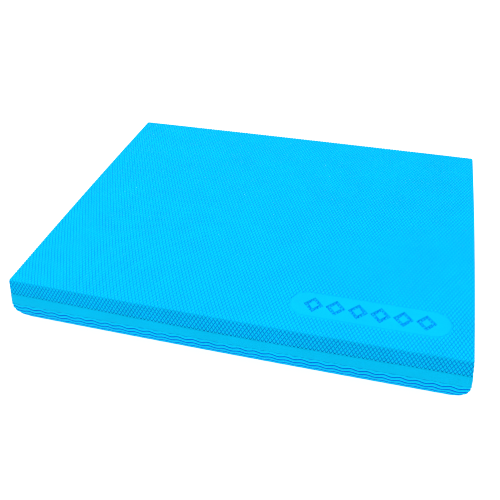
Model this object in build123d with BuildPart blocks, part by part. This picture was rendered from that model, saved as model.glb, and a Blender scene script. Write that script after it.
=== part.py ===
"""Foam balance pad: two embossed facings pressed over a laminated core of three foam plies.

Units are millimetres. The origin is on the floor under the centre of the pad, +X runs along
the long side, +Y runs away from the side that carries the badge, and +Z is up.
"""

from build123d import *
import math
import os

# Overall size of the pad, measured where it is widest, over the middle of its bowed sides
pad_length = 400.0
pad_width = 330.0
pad_height = 50.0

# Outline seen from above
side_bow = 1.2
corner_radius = 4.0

# Height of the crosshatched band that shows on the edge of the pad
upper_band = 16.0

# Edges of the moulding: above the lower facing the sides lean in by the draft of the mould, the
# top edge is eased, and the bottom is rolled, with corners that widen as it closes in
side_draft = 5.0
top_edge_radius = 1.0
bottom_edge_radius = 22.0
corner_growth = 1.2

# Straight side from the end of the rolled edge up to the seam of the lower facing
roll_to_seam = 3.0

# Facing sheets that are cupped over the core
facing_thickness = 4.0

# Oval badge moulded into the top, and the rim groove around it
badge_length = 131.6
badge_width = 30.0
badge_side_gap = 20.2
badge_front_gap = 22.8
rim_groove_width = 1.2
rim_groove_depth = 0.6

# Row of open diamonds recessed into the badge
diamond_count = 6
diamond_length = 17.0
diamond_width = 19.0
diamond_stroke = 4.6
diamond_gap = 1.4
diamond_depth = 0.9

# Sections that shape the rolled bottom edge
roll_steps = 8

lower_band = bottom_edge_radius + roll_to_seam
middle_band = pad_height - upper_band - lower_band
middle_top = lower_band + middle_band
middle_lean = middle_band * math.tan(math.radians(side_draft))
core_top = pad_height - facing_thickness
badge_centre_x = pad_length / 2 - badge_side_gap - badge_length / 2
badge_centre_y = -(pad_width / 2 - badge_front_gap - badge_width / 2)
inner_corner_radius = corner_radius / 2

os.makedirs("parts", exist_ok=True)


def pad_outline(level, inset, corner):
    """Return the bowed rectangle at one level, drawn inset from the widest outline."""
    reach_x = pad_length / 2 - inset
    reach_y = pad_width / 2 - inset
    corner_x = reach_x - side_bow
    corner_y = reach_y - side_bow
    with BuildSketch(Plane.XY.offset(level)) as outline:
        with BuildLine():
            ThreePointArc((-corner_x, -corner_y), (0, -reach_y), (corner_x, -corner_y))
            ThreePointArc((corner_x, -corner_y), (reach_x, 0), (corner_x, corner_y))
            ThreePointArc((corner_x, corner_y), (0, reach_y), (-corner_x, corner_y))
            ThreePointArc((-corner_x, corner_y), (-reach_x, 0), (-corner_x, -corner_y))
        make_face()
        fillet(outline.vertices(), radius=corner)
    return outline.sketch


def rolled_sections(wall, corner_at_wall):
    """Return the outlines of the rolled bottom, wall millimetres inside the outer surface.

    The roll is a quarter circle from the side of the pad round onto its underside. Both
    surfaces of the facing share its centre, and the corners widen as the outline closes in.
    """
    radius = bottom_edge_radius - wall
    sections = []
    for step in range(roll_steps + 1):
        turn = math.pi / 2 * step / roll_steps
        level = wall + radius * (1 - math.sin(turn))
        inset = wall + radius * (1 - math.cos(turn))
        corner = corner_at_wall + corner_growth * (inset - wall)
        sections.append(pad_outline(level, inset, corner))
    return sections


# Upper core ply, filling the tray of the upper facing
with BuildPart() as upper_core_ply:
    extrude(
        to_extrude=pad_outline(
            middle_top, middle_lean + facing_thickness, inner_corner_radius
        ),
        amount=core_top - middle_top,
        taper=side_draft,
    )
upper_core_ply.part.label = "upper_core_ply"
export_step(upper_core_ply.part, "parts/upper_core_ply.step")

# Embossed upper facing: a shallow tray turned over the core, with the badge in its top
with BuildPart() as upper_facing:
    extrude(
        to_extrude=pad_outline(middle_top, middle_lean, corner_radius - middle_lean),
        amount=upper_band,
        taper=side_draft,
    )
    fillet(upper_facing.faces().sort_by(Axis.Z)[-1].edges(), radius=top_edge_radius)
    add(upper_core_ply.part, mode=Mode.SUBTRACT)
    with BuildSketch(Plane.XY.offset(pad_height)):
        with Locations((badge_centre_x, badge_centre_y)):
            SlotOverall(badge_length, badge_width)
            SlotOverall(
                badge_length - 2 * rim_groove_width,
                badge_width - 2 * rim_groove_width,
                mode=Mode.SUBTRACT,
            )
    extrude(amount=-rim_groove_depth, mode=Mode.SUBTRACT)
    with BuildSketch(Plane.XY.offset(pad_height)):
        with Locations((badge_centre_x, badge_centre_y)):
            with GridLocations(diamond_length + diamond_gap, diamond_width, diamond_count, 1):
                for long_way, short_way, mode in (
                    (diamond_length, diamond_width, Mode.ADD),
                    (
                        diamond_length - 2 * diamond_stroke,
                        diamond_width - 2 * diamond_stroke,
                        Mode.SUBTRACT,
                    ),
                ):
                    Polygon(
                        (-long_way / 2, 0),
                        (0, -short_way / 2),
                        (long_way / 2, 0),
                        (0, short_way / 2),
                        mode=mode,
                    )
    extrude(amount=-diamond_depth, mode=Mode.SUBTRACT)
upper_facing.part.label = "upper_facing"
export_step(upper_facing.part, "parts/upper_facing.step")

# Middle core ply: full width, so its edge is the plain band between the two facings
with BuildPart() as middle_core_ply:
    extrude(
        to_extrude=pad_outline(lower_band, 0, corner_radius),
        amount=middle_band,
        taper=side_draft,
    )
middle_core_ply.part.label = "middle_core_ply"
export_step(middle_core_ply.part, "parts/middle_core_ply.step")

# Lower core ply, filling the tray of the lower facing
with BuildPart() as lower_core_ply:
    loft(rolled_sections(facing_thickness, inner_corner_radius))
    extrude(
        to_extrude=pad_outline(bottom_edge_radius, facing_thickness, inner_corner_radius),
        amount=roll_to_seam,
    )
lower_core_ply.part.label = "lower_core_ply"
export_step(lower_core_ply.part, "parts/lower_core_ply.step")

# Embossed lower facing: a tray whose rolled edge the pad rocks and rests on
with BuildPart() as lower_facing:
    loft(rolled_sections(0, corner_radius))
    extrude(
        to_extrude=pad_outline(bottom_edge_radius, 0, corner_radius),
        amount=roll_to_seam,
    )
    add(lower_core_ply.part, mode=Mode.SUBTRACT)
lower_facing.part.label = "lower_facing"
export_step(lower_facing.part, "parts/lower_facing.step")
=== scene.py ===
"""Foam balance pad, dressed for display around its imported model.

The pad is closed-cell TPE foam. Two facing sheets, embossed in a heated press, are bonded over a
core of three plies: the upper facing carries rhomb pips and an oval badge, the lower facing
carries waves that roll round the bottom edge, and the middle ply shows between them as a plain
band. Every relief is real geometry, raised from one moulded form. Lengths are millimetres until
a mesh is made, and metres in the scene.
"""

import logging
import math
from abc import ABC, abstractmethod
from dataclasses import dataclass, field
from enum import Enum

import bmesh
import bpy
import numpy as np
from mathutils import Matrix, Vector, noise
from mathutils.geometry import delaunay_2d_cdt


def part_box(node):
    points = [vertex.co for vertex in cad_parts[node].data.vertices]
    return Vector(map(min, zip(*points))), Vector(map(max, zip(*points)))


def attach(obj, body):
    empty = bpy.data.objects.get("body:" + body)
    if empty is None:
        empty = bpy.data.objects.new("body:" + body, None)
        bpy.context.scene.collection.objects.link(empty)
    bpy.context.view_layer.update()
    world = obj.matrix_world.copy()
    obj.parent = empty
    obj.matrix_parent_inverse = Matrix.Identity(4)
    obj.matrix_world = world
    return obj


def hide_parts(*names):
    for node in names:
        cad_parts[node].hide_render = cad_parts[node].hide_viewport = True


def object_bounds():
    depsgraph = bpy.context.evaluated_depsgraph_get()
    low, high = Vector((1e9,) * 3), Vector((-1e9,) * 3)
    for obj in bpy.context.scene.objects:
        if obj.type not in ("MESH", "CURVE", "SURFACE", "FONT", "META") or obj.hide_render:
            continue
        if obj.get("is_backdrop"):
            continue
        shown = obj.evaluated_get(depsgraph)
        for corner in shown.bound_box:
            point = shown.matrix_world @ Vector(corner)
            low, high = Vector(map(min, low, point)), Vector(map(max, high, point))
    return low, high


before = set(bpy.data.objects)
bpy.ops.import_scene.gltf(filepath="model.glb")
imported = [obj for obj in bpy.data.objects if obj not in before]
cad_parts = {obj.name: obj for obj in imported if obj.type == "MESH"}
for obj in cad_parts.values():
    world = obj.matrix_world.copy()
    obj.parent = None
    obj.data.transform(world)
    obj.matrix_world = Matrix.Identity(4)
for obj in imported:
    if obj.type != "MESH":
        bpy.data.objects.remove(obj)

log = logging.getLogger("balance_pad")

MM = 0.001
BODY = "root"
# Point attribute, 0 in a groove and 1 on a crown, that the materials read to paint shade into the
# grooves
GROOVE_SHADE_ATTRIBUTE = "relief"

# Linear red, green, blue and alpha of white light
WHITE = (1.0, 1.0, 1.0, 1.0)

# Corners of a rhomb round its middle
COMPASS = np.array([(-1.0, 0.0), (0.0, -1.0), (1.0, 0.0), (0.0, 1.0)])

# Rounds of repeated substitution, enough to settle a share to its last digit
SETTLE_STEPS = 12


# --------------------------------------------------------------------------- moulded form


@dataclass(frozen=True)
class MouldedForm:
    """The plain outside of the pad, which every relief is raised from.

    A place on the edge has two numbers: `along`, counted in pips round the outline from the
    middle of the front, and `down`, millimetres over the edge from where the flat top ends. The
    sides lean in above the lower facing, by the draft that lets the pad leave its mould. The
    pips are `shrink` closer together toward the edges, and the upper seam hangs by `seam_sag`
    at the middle of each side.
    """

    length: float
    width: float
    height: float
    lower_band: float
    side_bow: float = 1.15
    corner_radius: float = 3.1
    corner_growth: float = 1.13
    corner_reach: float = 70.0
    draft: float = math.radians(6.2)
    top_radius: float = 0.6
    roll_radius: float = 22.0
    facing_thickness: float = 4.0
    pips_across: int = 122
    pip_rows: int = 102
    shrink: float = 0.033
    seam_sag: float = 0.9
    seam_rise: float = 0.4

    @property
    def top_inset(self) -> float:
        """How far in from the widest outline the flat top ends."""
        ease = self.top_radius * (1 / math.cos(self.draft) - math.tan(self.draft))
        return self.lean(self.height) + ease

    @property
    def pip_x(self) -> float:
        """Mean width of one pip along the long sides."""
        return (self.length - 2 * self.top_inset) / self.pips_across

    @property
    def pip_y(self) -> float:
        """Mean width of one pip along the short sides, and the mean step between rows."""
        return (self.width - 2 * self.top_inset) / self.pip_rows

    @property
    def straight_x(self) -> float:
        """Half the length of the long sides where nothing closes in toward the corners."""
        return self.length / 2 - self.corner_reach

    @property
    def straight_y(self) -> float:
        """Half the length of the short sides where nothing closes in toward the corners."""
        return self.width / 2 - self.corner_reach

    @property
    def quarter(self) -> float:
        """Pips in a quarter of the outline, to the nearest half."""
        pips = (self.length / 2 - self.top_inset) / self.pip_x
        pips += (self.width / 2 - self.top_inset) / self.pip_y
        return round(2 * pips) / 2

    @property
    def around(self) -> int:
        """Pips round the whole outline."""
        return round(4 * self.quarter)

    @property
    def wall_start(self) -> float:
        """How far down the leaning side starts."""
        return self.top_radius * (math.pi / 2 - self.draft)

    @property
    def wall_top(self) -> float:
        """Height at which the leaning side starts."""
        return self.height - self.top_radius * (1 - math.sin(self.draft))

    @property
    def wall_end(self) -> float:
        """How far down the leaning side meets the lower facing."""
        return self.down_at(self.lower_band)

    @property
    def roll_start(self) -> float:
        """How far down the rolled bottom edge starts."""
        return self.wall_end + self.lower_band - self.roll_radius

    @property
    def roll_end(self) -> float:
        """How far down the rolled edge meets the flat underside."""
        return self.roll_start + math.pi / 2 * self.roll_radius

    def lean(self, level: float) -> float:
        """Return how far in the side leans at a height."""
        return max(level - self.lower_band, 0) * math.tan(self.draft)

    def down_at(self, level: float) -> float:
        """Return how far down a height on the leaning side is."""
        return self.wall_start + (self.wall_top - level) / math.cos(self.draft)

    def spread(self, share: np.ndarray) -> np.ndarray:
        """Space pips from -1 to 1, closer toward the edges, where the foam grew least."""
        return share * (1 + self.shrink * (1 - share**2))

    def outline(
        self, along: np.ndarray, inset: np.ndarray | float, corner: np.ndarray | float
    ) -> tuple[np.ndarray, ...]:
        """Find places on the outline drawn inset from the widest one, before the sides bow.

        Args:
            along: Pips round the outline.
            inset: Millimetres in from the widest outline.
            corner: Radius of the corners there.

        Returns:
            x, y, and the outward direction's x and y.
        """
        turn = np.floor(along / self.quarter + 1e-9).astype(int) % 4
        rest = along - np.floor(along / self.quarter + 1e-9) * self.quarter
        u = np.where(turn % 2 == 1, self.quarter - rest, rest)
        flat_x = self.length / 2 - self.top_inset
        flat_y = self.width / 2 - self.top_inset
        front = self.share_at(self.straight_x / flat_x) * self.pips_across / 2
        side = self.share_at(self.straight_y / flat_y) * self.pip_rows / 2
        run = self.corner_reach - inset - corner
        arc = math.pi / 2 * corner
        share = np.clip((u - front) / (self.quarter - front - side), 0, 1)
        travel = share * (2 * run + arc)
        angle = np.clip((travel - run) / corner, 0, math.pi / 2)
        x = self.straight_x + np.minimum(travel, run) + corner * np.sin(angle)
        x = np.where(u < front, flat_x * self.spread(2 * u / self.pips_across), x)
        y = inset - self.width / 2 + corner * (1 - np.cos(angle))
        y = y + np.maximum(travel - run - arc, 0)
        back = self.quarter - u
        y = np.where(back < side, -flat_y * self.spread(2 * back / self.pip_rows), y)
        east = np.where(turn >= 2, -1.0, 1.0)
        north = np.where((turn == 1) | (turn == 2), -1.0, 1.0)
        return x * east, y * north, np.sin(angle) * east, -np.cos(angle) * north

    def share_at(self, reach: np.ndarray | float) -> np.ndarray | float:
        """Return the share from -1 to 1 that spread() puts at a reach from -1 to 1."""
        share = reach
        for _ in range(SETTLE_STEPS):
            share = reach / (1 + self.shrink * (1 - share**2))
        return share

    def profile(self, down: np.ndarray) -> tuple[np.ndarray, ...]:
        """Find places on the edge's cross-section.

        Args:
            down: Millimetres over the edge from where the flat top ends.

        Returns:
            Inset, corner radius, height, and the surface's outward and upward direction.
        """
        tilt = math.pi / 2 - self.draft
        top = np.clip(down / self.top_radius, 0, tilt)
        wall = np.clip(down - self.wall_start, 0, self.wall_end - self.wall_start)
        sheer = np.clip(down - self.wall_end, 0, self.roll_start - self.wall_end)
        roll = np.clip((down - self.roll_start) / self.roll_radius, 0, math.pi / 2)
        lean = self.top_inset - self.top_radius * np.sin(top) - wall * math.sin(self.draft)
        closing = self.roll_radius * (1 - np.cos(roll))
        level = self.height - self.top_radius * (1 - np.cos(top)) - wall * math.cos(self.draft)
        level = level - sheer - self.roll_radius * np.sin(roll)
        corner = self.corner_radius - lean + self.corner_growth * closing
        face = np.where(down < self.wall_end, top, math.pi / 2 + roll)
        return lean + closing, corner, level, np.sin(face), np.cos(face)

    def bowed(self, x: np.ndarray, y: np.ndarray, z: np.ndarray) -> np.ndarray:
        """Bow the four sides outward, most at their middles, and stack the coordinates."""
        half_x = self.length / 2
        half_y = self.width / 2
        return np.stack(
            [
                x * (1 - self.side_bow / half_x * (y / half_y) ** 2),
                y * (1 - self.side_bow / half_y * (x / half_x) ** 2),
                z,
            ],
            axis=-1,
        )

    def on_edge(self, along: np.ndarray, down: np.ndarray, lift: np.ndarray) -> np.ndarray:
        """Return points on the edge, each raised from the surface by its lift."""
        inset, corner, level, out, up = self.profile(down)
        x, y, east, north = self.outline(along, inset, corner)
        return self.bowed(x + east * out * lift, y + north * out * lift, level + up * lift)

    def ring(self, along: np.ndarray, inset: float, corner: float, level: float) -> np.ndarray:
        """Return a level ring of points, drawn inset from the widest outline."""
        x, y, _, _ = self.outline(along, inset, corner)
        return self.bowed(x, y, np.full(len(along), level))

    def seam(self, along: np.ndarray) -> np.ndarray:
        """Return how far the upper seam hangs below the facing: low mid-side, high at corners."""
        rest = np.mod(along, 2 * self.quarter)
        u = np.minimum(rest, 2 * self.quarter - rest)
        corner = self.pips_across / 2
        share = np.where(u < corner, u / corner, (self.quarter - u) / (self.quarter - corner))
        return self.seam_sag * np.cos(math.pi * share) - self.seam_rise


# --------------------------------------------------------------------------- mesh drafting


@dataclass
class MeshDraft:
    """Points and faces of one piece, gathered before its mesh is made."""

    points: list[np.ndarray] = field(default_factory=list)
    # Relief of each point, which the material turns into painted shade in the grooves
    relief: list[np.ndarray] = field(default_factory=list)
    faces: list[tuple[int, ...]] = field(default_factory=list)
    flat: set[int] = field(default_factory=set)
    crease: set[int] = field(default_factory=set)
    count: int = 0

    def add_points(self, points: np.ndarray, relief: np.ndarray | float = 1.0) -> int:
        """Add points with their relief, 0 in a groove and 1 on a crown, which sets their painted
        groove shade.

        Args:
            points: An array of three columns.
            relief: One value for each point, or one for them all.

        Returns:
            The number of the first point added.
        """
        first = self.count
        self.points.append(points)
        self.relief.append(np.broadcast_to(np.asarray(relief, float), (len(points),)))
        self.count += len(points)
        return first

    def add_ring_band(self, upper: int, lower: int, size: int) -> None:
        """Join two closed rings of the same size with quads that face outward."""
        for k in range(size):
            n = (k + 1) % size
            self.faces.append((upper + k, lower + k, lower + n, upper + n))

    def add_lid(self, ring: int, size: int, facing_up: bool) -> None:
        """Close a ring with one face."""
        order = range(ring, ring + size)
        self.flat.add(len(self.faces))
        self.faces.append(tuple(order if facing_up else reversed(order)))

    def build(self, name: str) -> bpy.types.Object:
        """Make the mesh object, in metres, with its relief kept as an attribute that the material
        turns into painted groove shade.
        """
        mesh = bpy.data.meshes.new(name)
        mesh.from_pydata((np.concatenate(self.points) * MM).tolist(), [], self.faces)
        smooth = np.ones(len(mesh.polygons), bool)
        smooth[list(self.flat)] = False
        mesh.polygons.foreach_set("use_smooth", smooth)
        if self.crease:
            ends = np.empty(2 * len(mesh.edges), np.int32)
            mesh.edges.foreach_get("vertices", ends)
            creased = np.isin(ends.reshape(-1, 2), list(self.crease)).all(axis=1)
            mesh.edges.foreach_set("use_edge_sharp", creased)
        layer = mesh.attributes.new(GROOVE_SHADE_ATTRIBUTE, "FLOAT", "POINT")
        layer.data.foreach_set("value", np.concatenate(self.relief).astype(np.float32))
        mesh.validate()
        piece = bpy.data.objects.new(name, mesh)
        bpy.context.scene.collection.objects.link(piece)
        return piece


# Points nearer than this are one point, in millimetres
MERGE = 1e-4

# Twice the area under which a triangle is left out, in square millimetres
SLIVER = 1e-6


def triangulated(
    points: np.ndarray, edges: np.ndarray
) -> tuple[np.ndarray, list[tuple[int, ...]], np.ndarray]:
    """Triangulate points in a plane so that every given edge is kept.

    Args:
        points: An array of two columns.
        edges: An array of two columns, each a point's number.

    Returns:
        The points used, the triangles, and for each point the number it was given, or -1 if it
        is a new one where two edges cross.
    """
    found, _, faces, sources, _, _ = delaunay_2d_cdt(
        [Vector(p) for p in points.tolist()], edges.tolist(), [], 0, MERGE, True
    )
    used = np.array([tuple(p) for p in found])
    first = np.array([s[0] if s else -1 for s in sources])
    corners = used[np.array(faces)]
    side_a = corners[:, 1] - corners[:, 0]
    side_b = corners[:, 2] - corners[:, 0]
    area = side_a[:, 0] * side_b[:, 1] - side_a[:, 1] * side_b[:, 0]
    return used, [f for f, a in zip(faces, area) if abs(a) > SLIVER], first


# --------------------------------------------------------------------------- reliefs

# Depth at which a groove's painted shade is as dark as it gets, in millimetres
DEEPEST = 0.9


def groove_shade_of(lift: np.ndarray) -> np.ndarray:
    """Return 1 on a crown, falling to 0 at the deepest groove: how little painted shade the
    colour gets there.
    """
    return np.clip(1 + lift / DEEPEST, 0, 1)


@dataclass(frozen=True)
class PipRelief:
    """Staggered rhomb pips with softly crowned tops, parted by narrow V grooves.

    Places are counted in half pips: j across the rhombs and k along them. A pip stands wherever
    j + k is odd, and grooves cross wherever it is even.
    """

    shoulder: float = 0.74
    groove_depth: float = 0.55
    crown: float = 0.16

    def lift(self, j: np.ndarray, k: np.ndarray) -> np.ndarray:
        """Return how far below the crown tops the surface lies, as a negative number."""
        across = np.abs(2 * np.mod((j + k) / 2, 1) - 1)
        back = np.abs(2 * np.mod((j - k) / 2, 1) - 1)
        edge = np.maximum(across, back)
        top = -self.crown * (edge / self.shoulder) ** 2
        groove = -self.crown - self.groove_depth * (edge - self.shoulder) / (1 - self.shoulder)
        return np.where(edge <= self.shoulder, top, groove)

    @property
    def floor(self) -> float:
        """Lift at the bottom of a groove."""
        return -self.crown - self.groove_depth

    def lattice(
        self, j_first: int, j_last: int, k_first: int, k_last: int, wrap: int = 0
    ) -> tuple[np.ndarray, np.ndarray]:
        """Lay out the groove lines and shoulders of every pip in a range.

        Args:
            j_first, j_last, k_first, k_last: The range of half pips, both ends included.
            wrap: Half pips after which j starts again, or 0 where it doesn't.

        Returns:
            Points as columns j and k, and edges as pairs of point numbers.
        """
        j, k = np.meshgrid(np.arange(j_first, j_last + 1), np.arange(k_first, k_last + 1))
        odd = (j + k) % 2 == 1
        centres = np.stack([j[odd], k[odd]], axis=-1).astype(float)
        corners = centres[:, None] + COMPASS
        shoulders = centres[:, None] + COMPASS * self.shoulder
        every = np.concatenate([corners.reshape(-1, 2), shoulders.reshape(-1, 2), centres])
        if wrap:
            every[:, 0] = np.mod(every[:, 0], wrap)
        keys, first, number = np.unique(
            np.round(every * 1000).astype(int), axis=0, return_index=True, return_inverse=True
        )
        number = number.reshape(-1)
        rings = number[: 8 * len(centres)].reshape(2, -1, 4)
        edges = np.stack([rings, np.roll(rings, -1, axis=2)], axis=-1).reshape(-1, 2)
        points = every[first]
        slack = 1e-6
        inside = (points[:, 1] >= k_first - slack) & (points[:, 1] <= k_last + slack)
        if not wrap:
            inside &= (points[:, 0] >= j_first - slack) & (points[:, 0] <= j_last + slack)
        return kept(points, edges, inside)


def kept(
    points: np.ndarray, edges: np.ndarray, mask: np.ndarray
) -> tuple[np.ndarray, np.ndarray]:
    """Keep the points under a mask and the edges that join two of them."""
    number = np.cumsum(mask) - 1
    whole = mask[edges[:, 0]] & mask[edges[:, 1]]
    return points[mask], number[edges[whole]]


@dataclass(frozen=True)
class WaveRelief:
    """Rows of wavy V grooves with lens-like ridges between them, drawn apart on the roll.

    Rows are counted by phase: 0 is the row that runs along the seam, and a whole number is the
    bottom of a groove. A groove's width is a share of the pitch, and grows away from the seam.
    """

    pitch: float = 3.65
    stretch: float = 2.0
    stretch_rows: float = 3.0
    sway: float = 0.78
    depth: float = 0.65
    groove: float = 0.25
    groove_growth: float = 0.016
    widest_groove: float = 0.46
    crest_fade: float = 0.15
    crown: float = 0.1
    first_depth: float = 0.5
    first_row: float = -0.2
    # Factor on the lift where it sets the colour, so the wave grooves get stronger painted shade
    # than their depth alone gives
    tone: float = 1.45
    steps: tuple[float, ...] = (0.0, 0.3, 0.5, 0.7)
    most_rows: float = 120.0
    row_step: float = 0.05

    def reach(self, phase: np.ndarray | float) -> np.ndarray:
        """Return how far below the first row another one runs, by its phase."""
        slack = np.clip(phase / self.stretch_rows, 0, 1)
        return self.pitch * phase + self.stretch * slack**3

    def row(self, along: np.ndarray, phase: np.ndarray | float) -> np.ndarray:
        """Return how far below the seam a row runs, along being counted in waves."""
        return self.first_row + self.reach(phase) - self.sway * np.cos(2 * math.pi * along)

    def lift(self, along: np.ndarray, below: np.ndarray) -> np.ndarray:
        """Return the height of the surface above the ridges, as a negative number.

        Args:
            along: Waves along the edge.
            below: Millimetres below the seam.
        """
        swing = np.cos(2 * math.pi * along)
        table = np.arange(-2.0, self.most_rows, self.row_step)
        phase = np.interp(below - self.first_row + self.sway * swing, self.reach(table), table)
        nearest = np.abs(np.mod(phase + 0.5, 1) - 0.5)
        depth = self.depth * (1 - self.crest_fade * (0.5 + 0.5 * swing) ** 2)
        depth = depth * np.where(phase < 0.5, self.first_depth, 1)
        grown = self.groove + self.groove_growth * np.maximum(below, 0)
        half = np.minimum(grown, self.widest_groove)
        crown = self.crown * (2 * nearest - 1) ** 2
        return -crown - depth * np.clip(1 - nearest / half, 0, 1)


@dataclass(frozen=True)
class Badge:
    """Oval badge on the top face, with a row of open diamonds sunk into it.

    It lies `side_gap` and `front_gap` from the pad's widest outline. The tones are lifts that
    only colour the foam: the face gets one even tone, taken as a pressed face denser than the
    pips around it, and the sunk diamond floors get painted shade, darker again in their pips'
    grooves.
    """

    form: MouldedForm
    length: float = 131.6
    width: float = 30.0
    side_gap: float = 20.2
    front_gap: float = 22.8
    rim: float = 0.9
    diamonds: int = 6
    diamond_length: float = 17.0
    diamond_width: float = 19.0
    stroke: float = 4.6
    gap: float = 1.4
    sunk: float = 1.1
    bevel: float = 0.45
    face_tone: float = 0.34
    # Painted shade on the sunk diamond floors: how much darker they are, and how much of the
    # pips' groove shade they keep
    floor_shade: float = 0.04
    floor_pip_shade: float = 0.6
    arc_steps: int = 40
    slack: float = 1e-3

    @property
    def centre_x(self) -> float:
        """Middle of the oval along the pad."""
        return self.form.length / 2 - (self.side_gap + self.length / 2)

    @property
    def centre_y(self) -> float:
        """Middle of the oval across the pad."""
        return self.front_gap + self.width / 2 - self.form.width / 2

    @property
    def pitch(self) -> float:
        """Distance from one diamond to the next."""
        return self.diamond_length + self.gap

    def distance(self, x: np.ndarray, y: np.ndarray) -> np.ndarray:
        """Return how far outside the oval a place is, negative inside."""
        straight = self.length / 2 - self.width / 2
        dx = np.maximum(np.abs(x - self.centre_x) - straight, 0)
        return np.hypot(dx, y - self.centre_y) - self.width / 2

    def diamond_radius(self, x: np.ndarray, y: np.ndarray) -> tuple[np.ndarray, np.ndarray]:
        """Return how far a place is outside the nearest diamond's outer and inner outline."""
        column = np.floor((x - self.centre_x) / self.pitch + self.diamonds / 2)
        column = np.clip(column, 0, self.diamonds - 1) - (self.diamonds - 1) / 2
        dx = np.abs(x - self.centre_x - column * self.pitch)
        dy = np.abs(y - self.centre_y)
        return tuple(
            (dx / a + dy / b - 1) / math.hypot(1 / a, 1 / b) for a, b in self.half_sizes()
        )

    def half_sizes(self) -> tuple[tuple[float, float], tuple[float, float]]:
        """Return the half length and half width of a diamond's outer and inner outline."""
        outer = (self.diamond_length / 2, self.diamond_width / 2)
        return outer, (outer[0] - self.stroke, outer[1] - self.stroke)

    def loops(self) -> list[np.ndarray]:
        """Return the closed outlines of the rim and of every diamond's wall."""
        loops = [self.oval(0.0), self.oval(self.rim)]
        outer, inner = self.half_sizes()
        for k in range(self.diamonds):
            column = k - (self.diamonds - 1) / 2
            middle = np.array([self.centre_x + column * self.pitch, self.centre_y])
            for half, wall in ((outer, -self.bevel), (inner, self.bevel)):
                grown = 1 + wall * math.hypot(1 / half[0], 1 / half[1])
                loops.append(middle + COMPASS * half)
                loops.append(middle + COMPASS * half * grown)
        return loops

    def oval(self, inset: float) -> np.ndarray:
        """Return the badge's outline, drawn inset."""
        turn = np.linspace(0, math.pi, self.arc_steps + 1) - math.pi / 2
        radius = self.width / 2 - inset
        straight = self.length / 2 - self.width / 2
        right = np.stack([straight + radius * np.cos(turn), radius * np.sin(turn)], axis=-1)
        return np.concatenate([right, -right]) + (self.centre_x, self.centre_y)

    def lift(
        self, x: np.ndarray, y: np.ndarray, pips: np.ndarray, floor: float
    ) -> tuple[np.ndarray, np.ndarray]:
        """Return the surface's lift on and around the badge.

        Args:
            x, y: Places on the top face.
            pips: The lift that the pips would have there.
            floor: The lift of the bottom of a groove.

        Returns:
            The lift of the pips outside the oval, and of the rim, the face and the diamonds in
            it, then the lift that gives the foam its tone there, which carries painted shade in
            the grooves and on the sunk floors.
        """
        outside = self.distance(x, y)
        rim = floor * np.clip(1 + outside / self.rim, 0, 1)
        outer, inner = self.diamond_radius(x, y)
        sunk = np.clip(np.minimum(-outer, inner) / self.bevel, 0, 1)
        lift = rim + sunk * (pips - self.sunk)
        # Tone: the face's even tone, with painted shade on the sunk floors and in the pips'
        # grooves
        tone = sunk * (self.floor_pip_shade * pips - self.floor_shade) - self.face_tone
        inside = outside <= self.slack
        return np.where(inside, lift, pips), np.where(inside, tone, pips)


# --------------------------------------------------------------------------- finishes


def linear(code: str) -> tuple[float, float, float, float]:
    """Turn an sRGB hex colour into linear red, green, blue and alpha."""
    parts = [int(code[k : k + 2], 16) / 255 for k in (1, 3, 5)]
    return (*(p / 12.92 if p <= 0.04045 else ((p + 0.055) / 1.055) ** 2.4 for p in parts), 1.0)


# Range that a noise texture's values mostly fall in
NOISE_SPAN = {"From Min": 0.3, "From Max": 0.7}


def per_metre(size_mm: float) -> float:
    """Return a texture scale that gives features of about this many millimetres."""
    return 1 / (size_mm * MM)


def add_node(
    tree: bpy.types.NodeTree,
    kind: str,
    inputs: dict[str | int, object] | None = None,
    **settings: object,
) -> bpy.types.Node:
    """Add a node to a tree.

    Args:
        tree: The material's node tree.
        kind: The node's type.
        inputs: For each input, the socket to link to it or the value to give it.
        settings: The node's own properties.

    Returns:
        The new node.
    """
    node = tree.nodes.new(kind)
    for name, value in settings.items():
        setattr(node, name, value)
    for name, value in (inputs or {}).items():
        if isinstance(value, bpy.types.NodeSocket):
            tree.links.new(value, node.inputs[name])
        else:
            node.inputs[name].default_value = value
    return node


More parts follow.
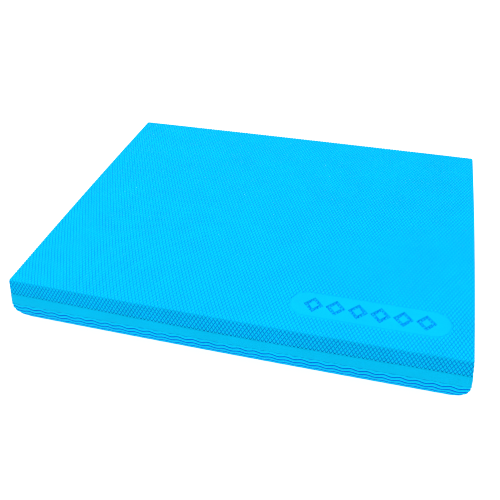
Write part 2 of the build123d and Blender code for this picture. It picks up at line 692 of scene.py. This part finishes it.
@dataclass(frozen=True)
class PressedFoam:
    """TPE foam skin, sealed by a heated steel die.

    The heat closes the outer cells to a satin skin, so it looks smooth and even, with a fine
    grain from the die. Grooves are pressed hardest and are deeper in colour, and raised tops are
    the palest: partly the denser pressed foam, partly painted shade in the grooves.
    """

    name: str
    # crown is the colour on raised tops; groove is the darker colour toward the grooves, below
    # relief groove_reach, partly the denser pressed foam and partly painted shade
    crown: str
    groove: str
    groove_reach: float = 0.75
    roughness: float = 0.62
    grain_mm: float = 0.45
    cell_mm: float = 1.1
    mottle_mm: float = 28.0

    def build(self) -> bpy.types.Material:
        """Return the material's nodes, built and linked."""
        material = bpy.data.materials.new(self.name)
        material.use_nodes = True
        tree = material.node_tree
        tree.nodes.clear()
        place = add_node(tree, "ShaderNodeTexCoord").outputs["Object"]
        # The relief attribute mixes the groove colour in toward the grooves: painted shade,
        # partly the denser pressed foam
        relief = add_node(tree, "ShaderNodeAttribute", attribute_name=GROOVE_SHADE_ATTRIBUTE).outputs["Fac"]
        depth = add_node(
            tree,
            "ShaderNodeMapRange",
            {"Value": relief, "From Min": 0.0, "From Max": self.groove_reach},
            interpolation_type="SMOOTHSTEP",
        ).outputs["Result"]
        # pressed: the groove colour mixed in toward the grooves, partly denser pressed foam and
        # partly painted shade
        pressed = add_node(
            tree,
            "ShaderNodeMix",
            # It holds one set of sockets for each data type, so the colour ones go by number
            {"Factor": depth, 6: linear(self.groove), 7: linear(self.crown)},
            data_type="RGBA",
        )
        mottle = add_node(
            tree,
            "ShaderNodeTexNoise",
            {"Vector": place, "Scale": per_metre(self.mottle_mm), "Detail": 4.0},
        ).outputs["Fac"]
        grain = add_node(
            tree,
            "ShaderNodeTexNoise",
            {"Vector": place, "Scale": per_metre(self.grain_mm), "Detail": 3.0},
        ).outputs["Fac"]
        cells = add_node(
            tree,
            "ShaderNodeTexVoronoi",
            {"Vector": place, "Scale": per_metre(self.cell_mm)},
            feature="SMOOTH_F1",
        ).outputs["Distance"]
        tone = add_node(
            tree,
            "ShaderNodeMapRange",
            {"Value": mottle, **NOISE_SPAN, "To Min": 0.965, "To Max": 1.035},
        ).outputs["Result"]
        fine = add_node(
            tree,
            "ShaderNodeMapRange",
            {"Value": grain, **NOISE_SPAN, "To Min": 0.97, "To Max": 1.03},
        ).outputs["Result"]
        value = add_node(tree, "ShaderNodeMath", {0: tone, 1: fine}, operation="MULTIPLY")
        colour = add_node(
            tree,
            "ShaderNodeHueSaturation",
            {"Value": value.outputs[0], "Color": pressed.outputs[2]},
        ).outputs["Color"]
        rough = add_node(
            tree,
            "ShaderNodeMapRange",
            {
                "Value": mottle,
                **NOISE_SPAN,
                "To Min": self.roughness - 0.05,
                "To Max": self.roughness + 0.06,
            },
        ).outputs["Result"]
        skin = add_node(
            tree,
            "ShaderNodeBump",
            {"Height": grain, "Strength": 0.25, "Distance": 0.05 * MM},
        ).outputs["Normal"]
        closed = add_node(
            tree,
            "ShaderNodeBump",
            {"Height": cells, "Strength": 0.2, "Distance": 0.08 * MM, "Normal": skin},
        ).outputs["Normal"]
        shader = add_node(
            tree,
            "ShaderNodeBsdfPrincipled",
            {
                "Base Color": colour,
                "Roughness": rough,
                "Normal": closed,
                "IOR": 1.5,
                "Specular IOR Level": 0.015,
                "Subsurface Weight": 0.05,
                "Subsurface Scale": 0.8 * MM,
            },
        )
        shader.inputs["Subsurface Radius"].default_value = (0.3, 0.8, 1.0)
        add_node(tree, "ShaderNodeOutputMaterial", {"Surface": shader.outputs["BSDF"]})
        return material


class Finish(Enum):
    """The pad's finishes, from the same blue foam pressed in different ways."""

    # Facing foam pressed by a plate of rhomb pips: bright blue tops, with deeper blue between
    # them that is partly painted shade
    PIPS = PressedFoam("TPE_foam_pip_embossed", crown="#00C0F5", groove="#0086F8")
    # Core foam pressed by a smooth mould wall: the most even and satin of the bands
    BAND = PressedFoam(
        "TPE_foam_smooth_pressed", crown="#00BDF0", groove="#00A8EE", roughness=0.58
    )
    # Facing foam pressed by a plate of waves: pale ridges, with the deepest grooves darkest in
    # colour, partly painted shade
    WAVES = PressedFoam("TPE_foam_wave_embossed", crown="#00C7F8", groove="#0050DC")
    # Foam cut from a block, with its cells left open: paler, matt and the same all over
    CORE = PressedFoam(
        "TPE_foam_cut_core", crown="#18B8EC", groove="#18B8EC", roughness=0.85, cell_mm=0.8
    )


# --------------------------------------------------------------------------- pieces


@dataclass
class PadPiece(ABC):
    """One sheet or ply of the pad."""

    form: MouldedForm
    node: str
    slot: str
    finish: Finish

    @abstractmethod
    def draft(self) -> MeshDraft:
        """Return the piece's points and faces."""

    def make(self) -> bpy.types.Object:
        """Build the piece, dress it and put it in place of its node."""
        piece = self.draft().build(self.node + "_foam")
        piece.data.materials.append(self.finish.value.build())
        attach(piece, BODY)
        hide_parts(self.node)
        log.info("%s: %d faces, %s", piece.name, len(piece.data.polygons), self.finish.value.name)
        return piece


@dataclass
class UpperFacing(PadPiece):
    """Embossed sheet turned over the core: pips on the top and down the side, and the badge."""

    badge: Badge
    band: float
    pips: PipRelief = PipRelief()
    side_pips: PipRelief = PipRelief(shoulder=0.68, groove_depth=0.7)
    side_rows: int = 6
    corner_clear: float = 0.5

    def top_lattice(self) -> tuple[np.ndarray, np.ndarray]:
        """Return the top face's points in millimetres and its edges, without the badge's face."""
        form = self.form
        points, edges = self.pips.lattice(-form.pips_across, form.pips_across, 0, form.pip_rows)
        flat_x = form.length / 2 - form.top_inset
        flat_y = form.width / 2 - form.top_inset
        across = form.spread(points[:, 0] / form.pips_across)
        back = form.spread(2 * points[:, 1] / form.pip_rows - 1)
        points = np.stack([flat_x * across, flat_y * back], axis=-1)
        from_corner = (flat_x - np.abs(points[:, 0])) + (flat_y - np.abs(points[:, 1]))
        points, edges = kept(points, edges, from_corner > self.corner_clear)
        oval = self.badge.distance(points[:, 0], points[:, 1])
        outer, inner = self.badge.diamond_radius(points[:, 0], points[:, 1])
        reach = form.pip_y
        drawn = (oval > -reach) | ((outer < reach) & (inner > -reach))
        return kept(points, edges, drawn)

    def pip_phase(self, x: np.ndarray, y: np.ndarray) -> tuple[np.ndarray, np.ndarray]:
        """Return the half pips across and along at places on the flat top."""
        form = self.form
        across = form.share_at(x / (form.length / 2 - form.top_inset))
        back = form.share_at(y / (form.width / 2 - form.top_inset))
        return across * form.pips_across, (back + 1) * form.pip_rows / 2

    def draft(self) -> MeshDraft:
        """Return the relief of the top and side as one skin, closed by the tray inside it."""
        form = self.form
        # The side is laid out as a flat rim round the top, so that one plan holds every groove
        half_pips = 2 * form.around
        side, side_edges = self.side_pips.lattice(
            0, half_pips - 1, 0, self.side_rows, wrap=half_pips
        )
        along = side[:, 0] / 2
        seam = form.down_at(form.height - self.band) + form.seam(along)
        down = seam * side[:, 1] / self.side_rows
        edge_radius = form.corner_radius - form.top_inset
        unroll = side[:, 1] * form.pip_x
        x, y, _, _ = form.outline(along, form.top_inset - unroll, edge_radius + unroll)
        points = [np.stack([x, y], axis=-1)]
        edges = [side_edges]
        rims = []
        for row in (0, self.side_rows):
            on_row = np.flatnonzero(np.abs(side[:, 1] - row) < 1e-6)
            ring = on_row[np.argsort(side[on_row, 0])]
            rims.append(ring)
            edges.append(np.stack([ring, np.roll(ring, -1)], axis=-1))
        top, top_edges = self.top_lattice()
        edges.append(top_edges + len(side))
        points.append(top)
        count = len(side) + len(top)
        for loop in self.badge.loops():
            number = count + np.arange(len(loop))
            points.append(loop)
            edges.append(np.stack([number, np.roll(number, -1)], axis=-1))
            count += len(loop)
        plan, faces, source = triangulated(np.concatenate(points), np.concatenate(edges))

        # Then the rim's points are folded down over the edge, and all are raised by their lift
        flat = self.pips.lift(*self.pip_phase(plan[:, 0], plan[:, 1]))
        # grooves is the tone lift that sets the colour: painted shade in the pips' grooves and on
        # the badge's sunk floors
        lift, grooves = self.badge.lift(plan[:, 0], plan[:, 1], flat, self.pips.floor)
        skin = form.bowed(plan[:, 0], plan[:, 1], form.height + lift)
        from_side = (source >= 0) & (source < len(side))
        chosen = source[from_side]
        edge_lift = self.side_pips.lift(side[chosen, 0], side[chosen, 1])
        skin[from_side] = form.on_edge(along[chosen], down[chosen], edge_lift)
        # The side pips' lift sets their painted groove shade
        grooves[from_side] = edge_lift

        draft = MeshDraft()
        draft.add_points(skin, groove_shade_of(grooves))
        draft.faces.extend(faces)
        level = np.abs(skin[:, 2] - form.height) < 1e-4
        draft.flat.update(k for k, f in enumerate(faces) if level[list(f)].all())
        number = np.full(len(side), -1)
        number[chosen] = np.flatnonzero(from_side)
        draft.crease.update(number[rims[0]].tolist())
        hem = number[rims[1]]
        self.close_tray(draft, hem, along[rims[1]])
        return draft

    def close_tray(self, draft: MeshDraft, hem: np.ndarray, along: np.ndarray) -> None:
        """Add the underside of the facing: its lip, and the tray that holds the upper ply."""
        form = self.form
        size = len(along)
        rings = []
        for level in (form.height - self.band, form.height - form.facing_thickness):
            inset = form.facing_thickness + form.lean(level)
            rings.append(draft.add_points(form.ring(along, inset, form.corner_radius / 2, level)))
        for k in range(size):
            n = (k + 1) % size
            draft.faces.append((hem[k], rings[0] + k, rings[0] + n, hem[n]))
        draft.add_ring_band(rings[0], rings[1], size)
        draft.add_lid(rings[1], size, facing_up=False)


@dataclass
class MiddlePly(PadPiece):
    """Full-width middle ply, whose smooth edge is the plain band between the facings."""

    low: float
    high: float
    columns: int = 448
    rows: int = 9
    recess: float = 0.1
    ease: float = 0.1
    ease_reach: float = 1.2
    swell: float = 0.15
    ripple: float = 0.12
    ripple_length: float = 25.0

    def draft(self) -> MeshDraft:
        """Return a slab with eased edges and the slight swell of foam between its bonds."""
        form = self.form
        along = np.arange(self.columns) * form.around / self.columns
        top = form.down_at(self.high) + form.seam(along)
        bottom = np.full(self.columns, form.down_at(self.low))
        draft = MeshDraft()
        rings = []
        for share in np.linspace(0, 1, self.rows):
            down = top + (bottom - top) * share
            from_edge = np.minimum(down - top, bottom - down)
            eased = -self.ease * np.clip(1 - from_edge / self.ease_reach, 0, 1) ** 2
            lift = eased + self.swell * np.sin(math.pi * share) - self.recess
            spots = form.on_edge(along, down, lift)
            places = (spots / self.ripple_length).tolist()
            lift = lift + self.ripple * np.array([noise.noise(Vector(p)) for p in places])
            rings.append(draft.add_points(form.on_edge(along, down, lift)))
        for upper, lower in zip(rings, rings[1:]):
            draft.add_ring_band(upper, lower, self.columns)
        for ring, level, up in ((rings[0], self.high, True), (rings[-1], self.low, False)):
            inset = form.facing_thickness + form.lean(level)
            corner = form.corner_radius / 2
            inner = draft.add_points(form.ring(along, inset, corner, level))
            pair = (inner, ring) if up else (ring, inner)
            draft.add_ring_band(*pair, self.columns)
            draft.add_lid(inner, self.columns, facing_up=up)
        return draft


@dataclass
class CorePly(PadPiece):
    """Hidden cut ply that fills a facing's tray."""

    low: float
    high: float
    gap: float = 0.1
    columns: int = 240
    rows: int = 5

    def draft(self) -> MeshDraft:
        """Return a slab that follows the tray, rolled under where the tray is."""
        form = self.form
        along = np.arange(self.columns) * form.around / self.columns
        draft = MeshDraft()
        rings = []
        roll = form.roll_radius - form.facing_thickness
        corner = form.corner_radius / 2
        for level in np.linspace(self.high - self.gap, self.low + self.gap, self.rows):
            below = min(max((form.roll_radius - level) / roll, 0.0), 1.0)
            closing = roll * (1 - math.sqrt(1 - below**2))
            inset = form.facing_thickness + self.gap + form.lean(level) + closing
            spots = form.ring(along, inset, corner + form.corner_growth * closing, level)
            rings.append(draft.add_points(spots))
        for upper, lower in zip(rings, rings[1:]):
            draft.add_ring_band(upper, lower, self.columns)
        draft.add_lid(rings[0], self.columns, facing_up=True)
        draft.add_lid(rings[-1], self.columns, facing_up=False)
        return draft


@dataclass
class LowerFacing(PadPiece):
    """Embossed sheet under the pad: waves round the rolled edge and across the underside."""

    waves: WaveRelief = WaveRelief()
    wave_count: int = 111
    columns_per_wave: int = 7
    hair: float = 0.004
    rim_clear: float = 0.4

    def edge_rows(self, along: np.ndarray) -> list[np.ndarray]:
        """Return how far down each row of points runs, from the seam to the underside."""
        form = self.form
        start = form.wall_end
        first = -1
        last = math.ceil((form.roll_end - start) / self.waves.pitch)
        phases = [n + step for n in range(first, last + 1) for step in self.waves.steps]
        waves = along * self.wave_count / form.around
        # Rows that would run past either end of the edge are stopped a hair apart there
        rows = [
            np.clip(
                start + self.waves.row(waves, phase),
                start + self.hair * k,
                form.roll_end - self.hair * (len(phases) - k),
            )
            for k, phase in enumerate(phases)
        ]
        spread = [r for r in rows if np.ptp(r) > 0.01]
        return [np.full(len(along), start), *spread, np.full(len(along), form.roll_end)]

    def draft(self) -> MeshDraft:
        """Return the rolled edge, the underside and the tray inside them."""
        form = self.form
        size = self.wave_count * self.columns_per_wave
        along = np.arange(size) * form.around / size
        waves = along * self.wave_count / form.around
        draft = MeshDraft()
        rings = []
        for down in self.edge_rows(along):
            lift = self.waves.lift(waves, down - form.wall_end)
            spots = form.on_edge(along, down, lift)
            # Colour from the lift scaled by tone: painted shade in the wave grooves
            rings.append(draft.add_points(spots, groove_shade_of(lift * self.waves.tone)))
        for upper, lower in zip(rings, rings[1:]):
            draft.add_ring_band(upper, lower, size)
        self.add_underside(draft, rings[-1], along)
        corner = form.corner_radius / 2
        closing = form.roll_radius - form.facing_thickness
        spots = form.ring(along, form.facing_thickness, corner, form.lower_band)
        high = draft.add_points(spots)
        draft.add_ring_band(high, rings[0], size)
        corner += form.corner_growth * closing
        spots = form.ring(along, form.roll_radius, corner, form.facing_thickness)
        low = draft.add_points(spots)
        draft.add_ring_band(low, high, size)
        draft.add_lid(low, size, facing_up=True)
        return draft

    def add_underside(self, draft: MeshDraft, ring: int, along: np.ndarray) -> None:
        """Add the flat underside, with its waves in step with those of the front edge."""
        form = self.form
        radius = form.corner_radius + form.corner_growth * form.roll_radius
        x, y, _, _ = form.outline(along, form.roll_radius, radius)
        loop = np.stack([x, y], axis=-1)
        wave = form.around * form.pip_x / self.wave_count
        half_x = form.length / 2 - form.roll_radius
        half_y = form.width / 2 - form.roll_radius
        stations = np.arange(-half_x, half_x, wave / self.columns_per_wave)
        rolled = form.roll_end - form.wall_end
        first = math.floor(rolled / self.waves.pitch) - 1
        last = math.ceil((rolled + 2 * half_y) / self.waves.pitch)
        lines = []
        for n in range(first, last + 1):
            for step in self.waves.steps:
                line = self.waves.row(stations / wave, n + step) - rolled - half_y
                lines.append(np.stack([stations, line], axis=-1))
        grid = np.stack(lines)
        number = np.arange(grid.shape[0] * grid.shape[1]).reshape(grid.shape[:2])
        edges = np.stack([number[:, :-1], number[:, 1:]], axis=-1).reshape(-1, 2)
        flat = grid.reshape(-1, 2)
        reach = np.abs(flat) - (half_x - radius, half_y - radius)
        outside = np.hypot(*np.maximum(reach, 0).T) + np.minimum(reach.max(axis=1), 0) - radius
        flat, edges = kept(flat, edges, outside < -self.rim_clear)
        number = np.arange(len(loop))
        plan, faces, source = triangulated(
            np.concatenate([loop, flat]),
            np.concatenate([np.stack([number, np.roll(number, -1)], axis=-1), edges + len(loop)]),
        )
        lift = self.waves.lift(plan[:, 0] / wave, plan[:, 1] + half_y + rolled)
        new = (source < 0) | (source >= len(loop))
        joined = np.where(new, 0, ring + source)
        # Colour from the lift scaled by tone: painted shade in the underside's wave grooves
        first_new = draft.add_points(
            form.bowed(plan[new, 0], plan[new, 1], -lift[new]),
            groove_shade_of(lift[new] * self.waves.tone),
        )
        joined[new] = first_new + np.arange(int(new.sum()))
        draft.faces.extend(tuple(int(joined[v]) for v in reversed(f)) for f in faces)


# --------------------------------------------------------------------------- studio


@dataclass(frozen=True)
class LightPanel:
    """Opal acrylic light panel, cast and lit from behind, which the pad stands on.

    It glows white all over, so that it reads as plain ground. Its own surface is a matt mid
    grey, which keeps it from throwing the pad's blue back as a tint.
    """

    name: str = "opal_acrylic_light_panel"
    surface: str = "#707274"
    roughness: float = 0.95
    gloss: float = 0.1
    glow: float = 0.95

    def build(self) -> bpy.types.Material:
        """Return the material, with its numbers on the shader's own sockets."""
        material = bpy.data.materials.new(self.name)
        material.use_nodes = True
        shader = material.node_tree.nodes["Principled BSDF"]
        shader.inputs["Base Color"].default_value = linear(self.surface)
        shader.inputs["Roughness"].default_value = self.roughness
        shader.inputs["Specular IOR Level"].default_value = self.gloss
        shader.inputs["Emission Color"].default_value = WHITE
        shader.inputs["Emission Strength"].default_value = self.glow
        return material


@dataclass
class Studio:
    """Plain white floor, soft white light and a camera above the pad's front right.

    The camera's bearings are degrees, with azimuth turning from the front toward the right. Its
    aim is on the level of the pad's top, and its distance and lens give the perspective.
    """

    centre: Vector
    azimuth: float = 15.386
    elevation: float = 36.732
    roll: float = -0.701
    distance: float = 0.6026
    aim_x: float = -0.00281
    aim_y: float = -0.06701
    lens_mm: float = 47.0268
    sensor_mm: float = 36.0
    clip_end: float = 100.0
    floor_size: float = 12.0
    floor_drop: float = 0.0003
    sky: float = 0.85
    box_offset: tuple[float, float, float] = (-0.15, 0.0, 1.0)
    box_size: float = 1.0
    box_power: float = 5.5
    pixel_filter: float = 1.0

    def build(self) -> None:
        """Make the floor, the lights and the camera, and set how the picture is toned."""
        self.add_floor()
        self.add_sky()
        self.add_soft_box()
        self.add_camera()
        bpy.context.scene.view_settings.view_transform = "Standard"
        bpy.context.scene.cycles.filter_width = self.pixel_filter

    def add_floor(self) -> None:
        """Lay the white floor just under the pad."""
        mesh = bpy.data.meshes.new("studio_floor")
        draft = bmesh.new()
        bmesh.ops.create_grid(draft, x_segments=8, y_segments=8, size=self.floor_size / 2)
        draft.to_mesh(mesh)
        draft.free()
        floor = bpy.data.objects.new("studio_floor", mesh)
        bpy.context.scene.collection.objects.link(floor)
        floor.location = (0, 0, -self.floor_drop)
        mesh.materials.append(LightPanel().build())
        floor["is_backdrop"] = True

    def add_sky(self) -> None:
        """Light the pad evenly from all round."""
        world = bpy.data.worlds.new("studio")
        world.use_nodes = True
        sky = world.node_tree.nodes["Background"]
        sky.inputs["Color"].default_value = WHITE
        sky.inputs["Strength"].default_value = self.sky
        bpy.context.scene.world = world

    def add_soft_box(self) -> None:
        """Hang a large square soft box over the pad's left, pointing at the pad."""
        data = bpy.data.lights.new("overhead_box", "AREA")
        data.shape = "SQUARE"
        data.size = self.box_size
        data.energy = self.box_power
        light = bpy.data.objects.new("overhead_box", data)
        bpy.context.scene.collection.objects.link(light)
        offset = Vector(self.box_offset)
        light.location = self.centre + offset
        light.rotation_euler = (-offset).to_track_quat("-Z", "Y").to_euler()

    def add_camera(self) -> None:
        """Set up the camera from its bearing, its aim on the top face and its roll."""
        azimuth = math.radians(self.azimuth)
        elevation = math.radians(self.elevation)
        back = Vector(
            (
                math.sin(azimuth) * math.cos(elevation),
                -math.cos(azimuth) * math.cos(elevation),
                math.sin(elevation),
            )
        )
        data = bpy.data.cameras.new("camera")
        data.sensor_width = self.sensor_mm
        data.lens = self.lens_mm
        data.clip_end = self.clip_end
        data.dof.use_dof = False
        camera = bpy.data.objects.new("camera", data)
        bpy.context.scene.collection.objects.link(camera)
        aim = Vector((self.aim_x, self.aim_y, 2 * self.centre.z))
        right = Vector((0, 0, 1)).cross(back).normalized()
        up = back.cross(right)
        tilt = math.radians(self.roll)
        right, up = (
            right * math.cos(tilt) + up * math.sin(tilt),
            up * math.cos(tilt) - right * math.sin(tilt),
        )
        turned = Matrix((right, up, back)).transposed().to_4x4()
        camera.matrix_world = Matrix.Translation(aim + back * self.distance) @ turned
        bpy.context.scene.camera = camera


def main() -> None:
    logging.basicConfig(level=logging.INFO, format="%(message)s")
    cad_low, cad_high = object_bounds()
    size = (cad_high - cad_low) / MM
    low = {name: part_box(name)[0].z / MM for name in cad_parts}
    high = {name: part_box(name)[1].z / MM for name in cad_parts}
    form = MouldedForm(size.x, size.y, size.z, lower_band=high["lower_facing"])
    pieces = [
        UpperFacing(
            form,
            "upper_facing",
            "upper_facing_foam",
            Finish.PIPS,
            badge=Badge(form),
            band=form.height - low["upper_facing"],
        ),
        MiddlePly(
            form,
            "middle_core_ply",
            "middle_band_foam",
            Finish.BAND,
            low=low["middle_core_ply"],
            high=high["middle_core_ply"],
        ),
        LowerFacing(form, "lower_facing", "lower_facing_foam", Finish.WAVES),
    ]
    for node in ("upper_core_ply", "lower_core_ply"):
        ply = CorePly(form, node, "core_foam", Finish.CORE, low=low[node], high=high[node])
        pieces.append(ply)
    for piece in pieces:
        piece.make()
    Studio(centre=(cad_low + cad_high) / 2).build()


if __name__ == "__main__":
    main()
